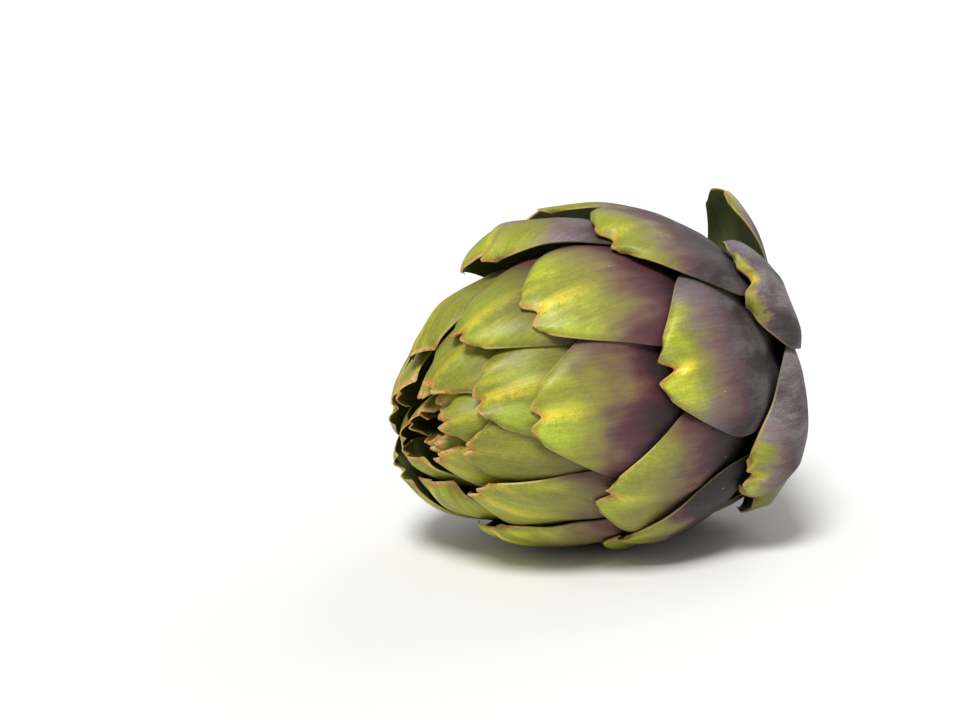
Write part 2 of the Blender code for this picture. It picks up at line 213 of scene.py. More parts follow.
@dataclass(frozen=True)
class Tint:
    """How one bract's colours depart from the rules: millimetres of green, and shares; the tone
    share is painted light and painted shade.
    """

    green: float = 0.0
    keel: float = 0.0
    bloom_and_sheen: float = 0.0
    # Painted light and painted shade: a share that makes the whole bract lighter or darker.
    tone: float = 0.0


# Each tone share lightens a bract as painted light, or darkens it as painted shade.
TINTS = {
    1: Tint(green=-6),
    2: Tint(bloom_and_sheen=-0.3),
    4: Tint(green=-7.5, keel=0.6),
    7: Tint(green=-10, keel=0.35, bloom_and_sheen=0.05),
    9: Tint(green=-8, bloom_and_sheen=-0.15, tone=0.08),
    10: Tint(green=-9, bloom_and_sheen=-0.2),
    12: Tint(green=-2.5, keel=0.4, bloom_and_sheen=0.28, tone=0.14),
    14: Tint(green=-5, keel=-0.1, bloom_and_sheen=0.6, tone=0.12),
    15: Tint(green=-4, tone=0.12),
    17: Tint(keel=0.25, tone=0.2),
    18: Tint(tone=0.2),
    19: Tint(tone=0.2),
    20: Tint(green=-6, keel=0.15, tone=0.15),
    22: Tint(tone=-0.12),
    25: Tint(keel=0.1, tone=-0.12),
    28: Tint(green=-12, keel=-0.15, tone=-0.16),
    30: Tint(green=-10, keel=0.1, tone=-0.16),
    33: Tint(green=-14),
    38: Tint(green=-30),
}


@dataclass
class HeadOutline:
    """The head's outline: turns a station and a height into a place along and out from the axis."""

    length_along: float = 127 * MM
    widest: float = 43.3 * MM
    shares: Rule = (
        (0.01, 0.19), (0.03, 0.33), (0.06, 0.49), (0.11, 0.67), (0.17, 0.83), (0.25, 0.94),
        (0.34, 0.99), (0.44, 1.00), (0.54, 0.98), (0.64, 0.93), (0.72, 0.855), (0.81, 0.76),
        (0.88, 0.665), (0.94, 0.585), (1.00, 0.52),
    )
    parts: int = 20
    count: int = 300
    smoothing: int = 40
    least_out: float = 0.3 * MM
    beyond_gain: float = 1.1
    curve: np.ndarray = field(init=False)
    tangent: np.ndarray = field(init=False)
    stations: np.ndarray = field(init=False)
    length: float = field(init=False)

    def __post_init__(self) -> None:
        """Run a smooth curve through the outline's points and find its directions."""
        points = np.array(self.shares) * np.array([self.length_along, self.widest])
        self.curve, self.length = self.smooth_curve(points)
        self.stations = np.linspace(0, self.length, self.count)
        tangent = np.gradient(self.curve, axis=0)
        for _ in range(self.smoothing):
            tangent[1:-1] = (tangent[:-2] + tangent[1:-1] + tangent[2:]) / 3
        self.tangent = tangent / np.linalg.norm(tangent, axis=1)[:, None]

    def smooth_curve(self, points: np.ndarray) -> tuple[np.ndarray, float]:
        """Run a Catmull-Rom curve through points.

        Args:
            points: The points, one a row.

        Returns:
            The evenly spaced curve and its length.
        """
        knots = np.vstack([2 * points[0] - points[1], points, 2 * points[-1] - points[-2]])
        share = np.linspace(0, 1, self.parts, endpoint=False)[:, None]
        runs = []
        for before, start, end, after in zip(knots, knots[1:], knots[2:], knots[3:]):
            linear = end - before
            square = 2 * before - 5 * start + 4 * end - after
            cube = 3 * start - before - 3 * end + after
            runs.append(start + 0.5 * (linear * share + square * share**2 + cube * share**3))
        dense = np.vstack(runs + [points[-1:]])
        steps = np.linalg.norm(np.diff(dense, axis=0), axis=1)
        places = np.concatenate([[0], np.cumsum(steps)])
        even = np.linspace(0, places[-1], self.count)
        curve = np.stack([np.interp(even, places, dense[:, axis]) for axis in (0, 1)], axis=1)
        return curve, float(places[-1])

    def read(self, table: np.ndarray, station: np.ndarray) -> np.ndarray:
        """Read one column of a table along the outline."""
        return np.interp(station, self.stations, table)

    def radius(self, station: np.ndarray) -> np.ndarray:
        """Give the outline's radius at a station; past its end it goes straight on.

        Args:
            station: Distance along the outline.

        Returns:
            The distance out from the axis.
        """
        beyond = station - np.clip(station, 0, self.length)
        slope_out = self.read(self.tangent[:, 1], station)
        return self.read(self.curve[:, 1], station) + beyond * slope_out

    def place(self, station: np.ndarray, height: np.ndarray) -> tuple[np.ndarray, np.ndarray]:
        """Find a place on the head.

        Args:
            station: Distance along the outline.
            height: Distance out from it.

        Returns:
            The distance along the axis and the distance out from the axis.
        """
        beyond = station - np.clip(station, 0, self.length)
        slope_along = self.read(self.tangent[:, 0], station)
        slope_out = self.read(self.tangent[:, 1], station)
        along = self.read(self.curve[:, 0], station) + beyond * slope_along - height * slope_out
        out = self.radius(station) + height * slope_along
        return along, np.maximum(out, self.least_out)

    def station_of(self, along: float) -> float:
        """Find the station whose outline point is this far along the axis.

        Args:
            along: Distance along the axis, which may lie past the outline's end.

        Returns:
            The distance along the outline.
        """
        if along <= self.length_along:
            return float(np.interp(along, self.curve[:, 0], self.stations))
        return self.length + (along - self.length_along) * self.beyond_gain


@dataclass
class HeadAxis:
    """Where the head's axis lies in the row's frame, read from the heart's own solid.

    The top and the widest ring are the heart's, which make the box of that solid.
    """

    nose_down: float = math.radians(2)
    share_above: float = 0.97
    share_below: float = 0.87
    nose: Band = (80 * MM, 125 * MM)
    nose_roundness: float = 0.7
    top: float = 77 * MM
    widest: Band = (30 * MM, 18.2 * MM)
    origin: np.ndarray = field(init=False)

    def __post_init__(self) -> None:
        """Find the axis's start from the box of the heart, which is turned about that axis."""
        low, high = (np.array(corner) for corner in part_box("heart"))
        self.origin = np.zeros(3)
        lowest = self.point(*(np.array(size) for size in self.widest), np.array(-90.0))
        self.origin = np.array([
            low[0] + self.top * math.cos(self.nose_down), (low[1] + high[1]) / 2,
            low[2] - lowest[2],
        ])

    def point(self, along: np.ndarray, out: np.ndarray, roll: np.ndarray) -> np.ndarray:
        """Turn places about the axis into points of the row's frame.

        Args:
            along: Distance along the axis from the stem.
            out: Distance out from the axis.
            roll: Angle about the axis, in degrees.

        Returns:
            The points, x, y and z on the last axis of the array.
        """
        angle = np.radians(roll)
        front = out * np.cos(angle)
        rounder = 1 - self.nose_roundness * smooth_step(along, *self.nose)
        below = smooth_step(-np.sin(angle), 0, 1) * rounder
        share = self.share_above - (self.share_above - self.share_below) * below
        up = out * np.sin(angle) * share
        sine, cosine = math.sin(self.nose_down), math.cos(self.nose_down)
        lengthwise, height = -along * cosine - up * sine, up * cosine - along * sine
        return np.stack([lengthwise, -front, height], axis=-1) + self.origin


@dataclass
class Envelope:
    """The height of what is already on the head, over a grid of roll and station."""

    outline: HeadOutline
    heart: Rule
    roll_steps: int = 240
    station_step: float = 1.25 * MM
    rows_beyond: int = 18
    deepest: float = 60 * MM
    depth_steps: int = 1200
    axis_radius: float = 1 * MM
    cover_parts: int = 3
    core: np.ndarray = field(init=False)
    height: np.ndarray = field(init=False)

    def __post_init__(self) -> None:
        """Start from the bare heart."""
        count = int(self.outline.length / self.station_step) + self.rows_beyond
        core = np.array([self.core_height(row * self.station_step) for row in range(count)])
        core[1:-1] = np.maximum(core[1:-1], np.maximum(core[:-2], core[2:]))
        self.core = core
        self.height = np.tile(core, (self.roll_steps, 1))

    def core_height(self, station: float) -> float:
        """Go inwards from the outline to the heart, or to the axis past its top.

        Args:
            station: Distance along the outline.

        Returns:
            The height found there, which is negative.
        """
        depth = np.linspace(0, self.deepest, self.depth_steps)
        along, out = self.outline.place(station, -depth)
        heart = np.array(self.heart) * MM
        heart_radius = np.interp(along, heart[:, 0], heart[:, 1], right=0)
        inside = (out < heart_radius) | (out < self.axis_radius)
        return -depth[np.argmax(inside)] if inside.any() else -self.deepest

    def above(self, roll: np.ndarray, station: np.ndarray) -> np.ndarray:
        """Read the height of the surface at places between the grid's points.

        Args:
            roll: Angles about the axis, in degrees.
            station: Distances along the outline.

        Returns:
            The height at each place.
        """
        across = np.mod(roll, 360) / 360 * self.roll_steps
        down = np.clip(station / self.station_step, 0, self.height.shape[1] - 1.001)
        column, row = np.floor(across).astype(int), down.astype(int)
        part_across, part_down = across - column, down - row
        here, there = column % self.roll_steps, (column + 1) % self.roll_steps
        near = self.height[here, row] * (1 - part_across) + self.height[there, row] * part_across
        far = self.height[here, row + 1] * (1 - part_across)
        far = far + self.height[there, row + 1] * part_across
        return near * (1 - part_down) + far * part_down

    def cover(self, roll: np.ndarray, station: np.ndarray, height: np.ndarray) -> None:
        """Raise the envelope to a sheet given by its grid of places.

        Args:
            roll: Angles about the axis, in degrees.
            station: Distances along the outline.
            height: Heights of the sheet.
        """
        across = self.refine(roll, self.cover_parts) / 360 * self.roll_steps
        down = self.refine(station, self.cover_parts) / self.station_step
        fine_height = self.refine(height, self.cover_parts)
        for round_across in (np.floor, np.ceil):
            for round_down in (np.floor, np.ceil):
                columns = round_across(across).astype(int) % self.roll_steps
                rows = np.clip(round_down(down).astype(int), 0, self.height.shape[1] - 1)
                np.maximum.at(self.height, (columns, rows), fine_height)

    @staticmethod
    def refine(grid: np.ndarray, parts: int) -> np.ndarray:
        """Add points between the rows and columns of a grid.

        Args:
            grid: The grid.
            parts: How many parts each step is cut into.

        Returns:
            The finer grid.
        """
        for _ in range(2):
            count = grid.shape[0]
            place = np.linspace(0, count - 1, (count - 1) * parts + 1)
            row = np.minimum(place.astype(int), count - 2)
            part = (place - row)[:, None]
            grid = (grid[row] * (1 - part) + grid[row + 1] * part).T
        return grid


@dataclass
class Bract:
    """One bract: a fine grid of places from base to tip, with its outer height and thickness.

    A stretch is in shares of the bract's length from its base. The wavelengths, the keel's half
    width and its fade from the tip are millimetres.
    """

    number: int
    outline: HeadOutline
    golden_angle: float = 137.5
    first_roll: float = 98.5
    seed_step: float = 7.31
    skew_step: float = 2.4
    width: float = 52 * MM
    base_thickness: float = 2.4 * MM
    tip_thickness: float = 1.15 * MM
    edge_thinning: float = 0.7
    tip_thinning: float = 0.55
    thinned_stretch: Band = (0.93, 1.0)
    gap: float = 0.4 * MM
    swell: float = 0.45
    swell_power: float = 2.9
    cut_reach: float = 2.4
    most_skew: float = 0.7 * MM
    wander: float = 0.012
    rise_stretch: Band = (-0.1, 0.6)
    bulge_stretch: Band = (0.35, 0.75)
    flatter_stretch: Band = (0.8, 1.0)
    tilt_stretch: Band = (0.2, 0.8)
    lift_gain: float = 1.35
    lift_end: float = 1.15
    curl_from: float = 0.83
    keel_height: float = 0.7 * MM
    keel_half_width: float = 2.0
    keel_stretch: Band = (0.4, 0.85)
    keel_fade: Band = (-1.0, 6.0)
    wave_height: float = 0.32 * MM
    wavelengths: Band = (17.0, 26.0)
    fine_wave_height: float = 0.06 * MM
    fine_wavelengths: Band = (5.0, 30.0)
    flat_thickness: float = 0.4 * MM
    rows: int = 52
    columns: int = 35
    edge_crowding: float = 1.25
    tip_crowding: float = 1.45
    control_crowding: float = 1.3
    control_rows: int = 11
    control_columns: int = 9
    near_weight: float = 0.12
    settle_rounds: int = 80
    settle_rate: float = 0.7
    settled: float = 0.04 * MM

    def __post_init__(self) -> None:
        """Read the rules of growth at this bract's number."""
        number, habit = self.number, HABITS.get(self.number, Habit())
        self.seed = math.fmod(number * self.seed_step, 10.0)
        self.roll = self.first_roll - self.golden_angle * (number - 1) + habit.turn
        tip_along = read_rule(TIP_ALONG, number) + habit.reach
        self.base = read_rule(BASE_STATION, number) * MM
        self.length = self.outline.station_of(tip_along * MM) - self.base
        self.waist = habit.waist or read_rule(WAIST_SHARE, number)
        width = read_rule(WIDTH_SHARE, number) * self.width
        self.half_width = habit.half_width * MM or width / 2
        self.tip_half_width = (habit.tip_half_width or read_rule(TIP_HALF_WIDTH, number)) * MM
        self.taper = (habit.taper or read_rule(TAPER, number)) * MM
        self.rest = (read_rule(REST_HEIGHT, number) + habit.raised) * MM
        self.bulge = (read_rule(BULGE, number) + habit.bulge) * MM
        self.curl = (habit.curl + read_rule(EXTRA_CURL, number)) * MM
        self.ragged = read_rule(RAGGEDNESS, number) * MM
        self.notch = (habit.notch or read_rule(NOTCH, number)) * MM
        self.skew = self.most_skew * math.sin(number * self.skew_step)
        self.corner = read_rule(CORNER_SHARE, number) * self.tip_half_width
        self.habit = habit
        ends = np.linspace(-1, 1, self.columns) * self.edge_crowding
        left = 1 - np.linspace(0, 1, self.rows)
        self.across, self.along = np.meshgrid(
            np.sin(ends) / math.sin(self.edge_crowding), 1 - left ** self.tip_crowding,
        )
        row_places = 1 - left ** (self.tip_crowding / self.control_crowding)
        self.row_weights = self.control_weights(row_places, self.control_rows)
        column_places = (self.across[0] + 1) / 2
        self.column_weights = self.control_weights(column_places, self.control_columns)

    @staticmethod
    def control_weights(places: np.ndarray, count: int) -> np.ndarray:
        """Weigh evenly spaced control points of a smooth curve.

        Args:
            places: Where to read the curve, from 0 to 1.
            count: How many control points it has.

        Returns:
            The weight of each control point (columns) at each place (rows).
        """
        distance = np.abs(places[:, None] * (count - 1) - np.arange(count)[None, :])
        near = 2 / 3 - distance**2 + distance**3 / 2
        far = (2 - np.minimum(distance, 2)) ** 3 / 6
        weights = np.where(distance < 1, near, far)
        return weights / weights.sum(axis=1, keepdims=True)

    def side(self) -> np.ndarray:
        """Give the half width at each grid point: rounded at the tip, widest past the taper.

        Returns:
            The half widths.
        """
        from_tip = (1 - self.along) * self.length
        share = np.clip(from_tip / self.taper, 0, 1)
        swell = (1 + self.swell) * share - self.swell * share ** self.swell_power
        narrowing = 1 - (1 - self.waist) * smooth_step(from_tip, self.taper, self.length)
        full = self.half_width - self.tip_half_width
        return (self.tip_half_width + full * swell) * narrowing

    def lay_out(self) -> None:
        """Set the roll and station of each grid point, with two round lobes about a notch."""
        side, habit = self.side(), self.habit
        reach = np.abs(self.across)
        lobe = read_rule(LOBE_SHARE, self.number)
        shoulder = read_rule(SHOULDER_SHARE, self.number)
        cut = self.notch * (1 - smooth_step(reach, 0.0, lobe)) - self.skew * self.across
        rounding = self.corner * np.clip((reach - shoulder) / (1 - shoulder), 0, 1) ** 2
        torn = self.ragged * ripple(self.across * 1.4, self.across * 0, self.seed)
        near, end = (
            smooth_step(self.along, 1 - self.cut_reach * depth / self.length, 1)
            for depth in (self.notch, self.corner)
        )
        self.station = self.base + self.length * self.along - cut * near - (rounding + torn) * end
        sunk = read_rule(SUNK_SHARE, self.number) * self.rest
        least = read_rule(LEAST_RADIUS, self.number) * MM
        around = np.maximum(self.outline.radius(self.station) + sunk, least)
        wander = 1 + self.wander * ripple(self.along * 3, self.across * 0, self.seed + 3)
        body = smooth_step(self.along, 1, 1 - 0.7 * self.taper / self.length)
        lateral = self.across * side * wander + habit.lean * MM * body
        self.rolls = self.roll + np.degrees(lateral / around)
        from_end = self.station[-1:, :] - self.station
        edge = np.minimum(side * (1 - reach), 0.85 * from_end)
        self.places = np.stack([lateral, (1 - self.along) * self.length, edge], axis=-1) / MM

    def shape(self, core: np.ndarray, station_step: float) -> None:
        """Set thickness and free height: up from the heart, bulging, lifted, curled at the tip.

        Args:
            core: Height of the bare heart at each step of station.
            station_step: Length of that step.
        """
        across, along, habit = self.across, self.along, self.habit
        thickness = self.base_thickness * (1 - along) + self.tip_thickness * along
        thickness = thickness * (1 - self.edge_thinning * np.abs(across) ** 4)
        thinned = smooth_step(along, *self.thinned_stretch)
        self.thickness = thickness * (1 - self.tip_thinning * thinned)
        start = np.interp(self.base, np.arange(len(core)) * station_step, core)
        rise = smooth_step(along, *self.rise_stretch)
        height = (start + 0.6 * self.base_thickness) * (1 - rise) + self.rest * rise
        flatter = 1 - 0.25 * smooth_step(along, *self.flatter_stretch)
        crown = smooth_step(along, *self.bulge_stretch) * flatter
        height = height + self.bulge * (1 - np.abs(across) ** 2.2) * crown
        height = height + habit.tilt * MM * across * smooth_step(along, *self.tilt_stretch)
        lift = self.lift_gain * habit.lift * MM
        height = height + lift * smooth_step(along, habit.lift_from, self.lift_end)
        curled = np.clip((along - self.curl_from) / (1 - self.curl_from), 0, 1) ** 2
        height = height - self.curl * curled * (1 - 0.3 * np.abs(across))
        self.height = height + self.relief()

    def relief(self) -> np.ndarray:
        """Give the fine relief of the skin: a keel near the tip and slow unevenness.

        Returns:
            The height that it adds to each grid point.
        """
        lateral, from_tip = self.places[..., 0], self.places[..., 1]
        keel = np.exp(-((lateral / self.keel_half_width) ** 2))
        keel = keel * smooth_step(self.along, *self.keel_stretch)
        keel = keel * smooth_step(from_tip, *self.keel_fade)
        (wide, long), (fine_wide, fine_long) = self.wavelengths, self.fine_wavelengths
        waves = ripple(lateral / wide, from_tip / long, self.seed)
        fine = ripple(lateral / fine_wide, from_tip / fine_long, self.seed + 5)
        return self.keel_height * keel + self.wave_height * waves + self.fine_wave_height * fine

    def settle(self, envelope: Envelope) -> None:
        """Raise the sheet, smoothly, until it clears everything under it, and cover that.

        Args:
            envelope: What is already on the head.
        """
        floor = envelope.above(self.rolls, self.station) + self.gap + self.thickness
        raised = np.zeros((self.control_rows, self.control_columns))
        near_rows = [weights[:, None] > self.near_weight for weights in self.row_weights.T]
        near_columns = [weights > self.near_weight for weights in self.column_weights.T]
        for _ in range(self.settle_rounds):
            lifted = self.height + self.row_weights @ raised @ self.column_weights.T
            lack = np.maximum(floor - lifted, 0)
            if lack.max() < self.settled:
                break
            by_row = np.stack([(lack * near).max(axis=0) for near in near_rows])
            more = np.stack([(by_row * near).max(axis=1) for near in near_columns], axis=1)
            edged = np.pad(more, 1, mode="edge")
            mixed = edged[:-2, 1:-1] + edged[2:, 1:-1] + edged[1:-1, :-2] + edged[1:-1, 2:]
            spread = np.maximum(0.7 * more, (mixed + 4 * more) / 8)
            raised = raised + self.settle_rate * spread
        self.height = self.height + self.row_weights @ raised @ self.column_weights.T
        envelope.cover(self.rolls, self.station, self.height)

    def sheets(self, axis: HeadAxis) -> tuple[np.ndarray, np.ndarray]:
        """Give the points of the outer and the inner face, flat where the bract lies down.

        Args:
            axis: Where the head's axis lies.

        Returns:
            The two grids of points.
        """
        outer = axis.point(*self.outline.place(self.station, self.height), self.rolls)
        inside = self.height - self.thickness
        inner = axis.point(*self.outline.place(self.station, inside), self.rolls)
        outer[..., 2] = np.maximum(outer[..., 2], 0)
        inner[..., 2] = np.maximum(inner[..., 2], self.flat_thickness)
        return outer, inner

    def look(self) -> tuple[float, ...]:
        """Give the reach of green, the keel's yellow, the bloom and sheen, the rim's tan and the
        tone with its painted light and shade.

        Returns:
            The five numbers.
        """
        tint = TINTS.get(self.number, Tint())
        green, keel, bloom_and_sheen, rim = (
            read_rule(rule, self.number)
            for rule in (GREEN_REACH, KEEL_SHARE, BLOOM_AND_SHEEN_SHARE, RIM_SHARE)
        )
        return green + tint.green, keel + tint.keel, bloom_and_sheen + tint.bloom_and_sheen, rim, 1 + tint.tone

    def build(self, axis: HeadAxis, finish: bpy.types.Material) -> bpy.types.Object:
        """Close the two faces into one shell and make it a piece.

        Args:
            axis: Where the head's axis lies.
            finish: The bract's material.

        Returns:
            The finished piece, which replaces the bract's plain solid.
        """
        outer, inner = self.sheets(axis)
        mesh = bmesh.new()
        bmesh.ops.create_grid(
            mesh, x_segments=self.columns - 1, y_segments=self.rows - 1, size=0.5,
        )
        place_layer = mesh.verts.layers.float_vector.new("place")
        look_layer = mesh.verts.layers.float_vector.new("look")
        skin_layer = mesh.verts.layers.float_vector.new("skin")
        light_and_tone_layer = mesh.verts.layers.float.new("tone")
        green, keel, bloom_and_sheen, rim, tone = self.look()
        for vertex in mesh.verts:
            column = round((vertex.co.x + 0.5) * (self.columns - 1))
            row = round((vertex.co.y + 0.5) * (self.rows - 1))
            vertex[place_layer] = self.places[row, column]
            vertex[look_layer] = (green, keel, bloom_and_sheen)
            vertex[skin_layer] = (row, column, 0)
            vertex[light_and_tone_layer] = tone
        grown = bmesh.ops.extrude_face_region(mesh, geom=mesh.faces[:], use_keep_orig=True)
        copies = {item for item in grown["geom"] if isinstance(item, bmesh.types.BMVert)}
        for vertex in mesh.verts:
            row, column = (round(value) for value in vertex[skin_layer][:2])
            is_outer = vertex in copies
            vertex.co = (outer if is_outer else inner)[row, column]
            vertex[skin_layer] = (0 if is_outer else 1, self.seed, rim)
        piece = finish_piece(f"leaf_{self.number:02d}", mesh, finish)
        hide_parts(f"bract_{self.number:02d}")
        return piece


def add_object(name: str, data: bpy.types.ID) -> bpy.types.Object:
    """Add an object to the scene.

    Args:
        name: The object's name.
        data: Its mesh, lamp or camera.

    Returns:
        The new object, at the origin.
    """
    made = bpy.data.objects.new(name, data)
    bpy.context.collection.objects.link(made)
    return made


def add_mesh(name: str, mesh: bmesh.types.BMesh, finish: bpy.types.Material) -> bpy.types.Object:
    """Add a bmesh to the scene as an object.

    Args:
        name: The object's name.
        mesh: The bmesh, which is freed.
        finish: The object's material.

    Returns:
        The new object, at the origin.
    """
    data = bpy.data.meshes.new(name)
    mesh.to_mesh(data)
    mesh.free()
    data.materials.append(finish)
    return add_object(name, data)


def finish_piece(
        name: str, mesh: bmesh.types.BMesh, finish: bpy.types.Material) -> bpy.types.Object:
    """Make a smooth piece of a closed bmesh, with its faces pointing out, and let it ride.

    Args:
        name: The piece's name.
        mesh: The closed mesh, which is freed.
        finish: Its material.

    Returns:
        The new piece, at the origin.
    """
    bmesh.ops.recalc_face_normals(mesh, faces=mesh.faces[:])
    if mesh.calc_volume(signed=True) < 0:
        bmesh.ops.reverse_faces(mesh, faces=mesh.faces[:])
    piece = add_mesh(name, mesh, finish)
    piece.data.shade_smooth()
    piece.data.set_sharp_from_angle(angle=SHARP_ANGLE)
    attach(piece, ROOT)
    return piece


@dataclass
class Heart:
    """The heart with its short cut stem below and its choke above, in millimetres."""

    outline: Rule = (
        (-2.0, 8.6), (-1.4, 9.0), (5, 9.0), (9, 10.5), (13, 13), (18, 16), (24, 18), (30, 18.2),
        (36, 17), (46, 14.5), (58, 11.5), (68, 8.5), (74, 5.5),
    )
    top: float = 77.0
    top_radius: float = 0.5
    dish: Rule = ((-1.45, 0.0), (-1.5, 1.5), (-1.7, 4.0), (-1.9, 6.2), (-2.05, 7.6))
    turned_steps: int = 96
    parts: int = 3
    rib_count: int = 11
    wide_rib_count: int = 7
    rib_depth: float = 0.35
    ribbed_out: Band = (5, 9)
    ribbed_along: Band = (4, 14)

    def build(self, axis: HeadAxis, finish: bpy.types.Material) -> bpy.types.Object:
        """Turn the outline, with a slightly dished cut face and a ribbed stem.

        Args:
            axis: Where the head's axis lies.
            finish: The flesh's material.

        Returns:
            The finished piece, which replaces the heart's plain solid.
        """
        profile = [*self.dish, *self.fine_side(), (self.top, 0.0)]
        mesh = bmesh.new()
        side = [mesh.verts.new((out, 0, along)) for along, out in profile]
        edges = [mesh.edges.new(pair) for pair in zip(side, side[1:])]
        bmesh.ops.spin(
            mesh, geom=side + edges, cent=(0, 0, 0), axis=(0, 0, 1), angle=math.tau,
            steps=self.turned_steps, use_merge=True,
        )
        bmesh.ops.remove_doubles(mesh, verts=mesh.verts[:], dist=0.005)
        place_layer = mesh.verts.layers.float_vector.new("place")
        for vertex in mesh.verts:
            out = math.hypot(vertex.co.x, vertex.co.y)
            angle = math.atan2(vertex.co.y, vertex.co.x)
            along = vertex.co.z
            vertex[place_layer] = (out * math.cos(angle), out * math.sin(angle), along)
            wide_rib = math.sin(angle * self.wide_rib_count + 1.3)
            rib = math.sin(angle * self.rib_count) + 0.5 * wide_rib
            share = float(smooth_step(out, *self.ribbed_out))
            share = share * (1 - float(smooth_step(along, *self.ribbed_along)))
            out = out - self.rib_depth * share * (0.5 + 0.5 * rib)
            vertex.co = axis.point(along * MM, out * MM, math.degrees(angle))
        piece = finish_piece("heart_and_stem", mesh, finish)
        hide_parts("heart")
        return piece

    def fine_side(self) -> list[tuple[float, float]]:
        """Cut each step of the side's outline into parts.

        Returns:
            The points, as distances along and out from the axis.
        """
        along, out = (np.array(values) for values in zip(*self.outline))
        places = np.arange(len(along))
        steps = np.linspace(0, places[-1], self.parts * places[-1] + 1)
        return list(zip(np.interp(steps, places, along), np.interp(steps, places, out)))


class Blend(Enum):
    """The ways in which one colour is laid over another."""

    OVER = "MIX"
    DARKEN = "MULTIPLY"


class Shader:
    """A material under construction: short calls that add and join its nodes."""

    mix_inputs: tuple[int, ...] = (0, 6, 7)
    mix_output: int = 2

    def __init__(self, name: str) -> None:
        """Start an empty material with its surface shader.

        Args:
            name: The material's name.
        """
        self.material = bpy.data.materials.new(name)
        self.material.use_nodes = True
        self.tree = self.material.node_tree
        self.surface = self.tree.nodes["Principled BSDF"]

    def node(self, kind: str, **settings: object) -> bpy.types.Node:
        """Add a node and set its properties.

        Args:
            kind: The node's type.
            settings: Its properties.

        Returns:
            The new node.
        """
        made = self.tree.nodes.new(kind)
        for name, value in settings.items():
            setattr(made, name, value)
        return made

    def feed(self, socket: Socket, value: object) -> None:
        """Link a socket, or set its value.

        Args:
            socket: The socket to feed.
            value: Another socket, a number or a colour.
        """
        if isinstance(value, Socket):
            self.tree.links.new(value, socket)
        elif isinstance(value, tuple) and socket.type == "RGBA":
            socket.default_value = (*value, 1)
        else:
            socket.default_value = value

    def join(self, kind: str, fed: dict[str | int, object], output: str | int = 0,
             **settings: object) -> Socket:
        """Add a node, feed its sockets and give one of its outputs.

        Args:
            kind: The node's type.
            fed: What goes into each socket, by the socket's name or place.
            output: The output's name or place.
            settings: The node's properties.

        Returns:
            The output's socket.
        """
        made = self.node(kind, **settings)
        for socket, value in fed.items():
            self.feed(made.inputs[socket], value)
        return made.outputs[output]

    def maths(self, operation: str, *values: object) -> Socket:
        """Work out a number from others, by one of the Math node's operations."""
        return self.join("ShaderNodeMath", dict(enumerate(values)), operation=operation)

    def plus(self, *values: object) -> Socket:
        """Add numbers or sockets."""
        return reduce(partial(self.maths, "ADD"), values)

    def times(self, *values: object) -> Socket:
        """Multiply numbers or sockets."""
        return reduce(partial(self.maths, "MULTIPLY"), values)

    def swing(self, noise: Socket, width: float) -> Socket:
        """Turn a noise into a number that swings about 0."""
        return self.times(self.maths("SUBTRACT", noise, 0.5), width)

    def step(self, value: object, start: object, end: object, low: object = 0.0,
             high: object = 1.0) -> Socket:
        """Go smoothly from low to high as a value goes from start to end.

        Args:
            value: The number that drives it.
            start: Where it leaves low.
            end: Where it reaches high.
            low: The first result.
            high: The last result.

        Returns:
            The result's socket.
        """
        names = ("Value", "From Min", "From Max", "To Min", "To Max")
        fed = dict(zip(names, (value, start, end, low, high)))
        return self.join("ShaderNodeMapRange", fed, "Result", interpolation_type="SMOOTHSTEP")

    def fade(self, value: object, start: object, end: object) -> Socket:
        """Go smoothly from 1 to 0 as a value goes from start to end."""
        return self.step(value, start, end, 1.0, 0.0)

    def split(self, attribute: str) -> tuple[Socket, ...]:
        """Read the three numbers of one of the mesh's attributes.

        Args:
            attribute: The attribute's name.

        Returns:
            A socket for each number.
        """
        read = self.join("ShaderNodeAttribute", {}, "Vector", attribute_name=attribute)
        made = self.node("ShaderNodeSeparateXYZ")
        self.feed(made.inputs[0], read)
        return tuple(made.outputs)

    def vector(self, *values: object) -> Socket:
        """Join three numbers into a vector."""
        return self.join("ShaderNodeCombineXYZ", dict(enumerate(values)))

    def noise(self, vector: object, scale: float, detail: float = 3.0,
              roughness: float = 0.55) -> Socket:
        """Read a soft noise.

        Args:
            vector: Where to read it.
            scale: How fine it is.
            detail: How many finer layers it has.
            roughness: How strong those are.

        Returns:
            The noise's socket, mostly between 0.3 and 0.7.
        """
        fed = {"Vector": vector, "Scale": scale, "Detail": detail, "Roughness": roughness}
        return self.join("ShaderNodeTexNoise", fed, "Fac")

    def spots(self, vector: object, scale: float) -> Socket:
        """Read the distance to the nearest of many scattered points."""
        return self.join("ShaderNodeTexVoronoi", {"Vector": vector, "Scale": scale}, "Distance")

    def ramp(self, share: object, *stops: tuple[float, Colour]) -> Socket:
        """Read a colour off a row of colours.

        Args:
            share: Where to read it, from 0 to 1.
            stops: Pairs of place and colour.

        Returns:
            The colour's socket.
        """
        made = self.node("ShaderNodeValToRGB")
        row = made.color_ramp.elements
        while len(row) < len(stops):
            row.new(0.5)
        for element, (place, colour) in zip(row, stops):
            element.position = place
            element.color = (*colour, 1)
        self.feed(made.inputs[0], share)
        return made.outputs[0]

    def mix(self, share: object, below: object, above: object,
            blend: Blend = Blend.OVER) -> Socket:
        """Lay one colour over another.

        Args:
            share: How much of the upper colour shows.
            below: The lower colour.
            above: The upper colour.
            blend: How it is laid.

        Returns:
            The mixed colour's socket.
        """
        fed = dict(zip(self.mix_inputs, (share, below, above)))
        return self.join(
            "ShaderNodeMix", fed, self.mix_output, data_type="RGBA", blend_type=blend.value,
        )

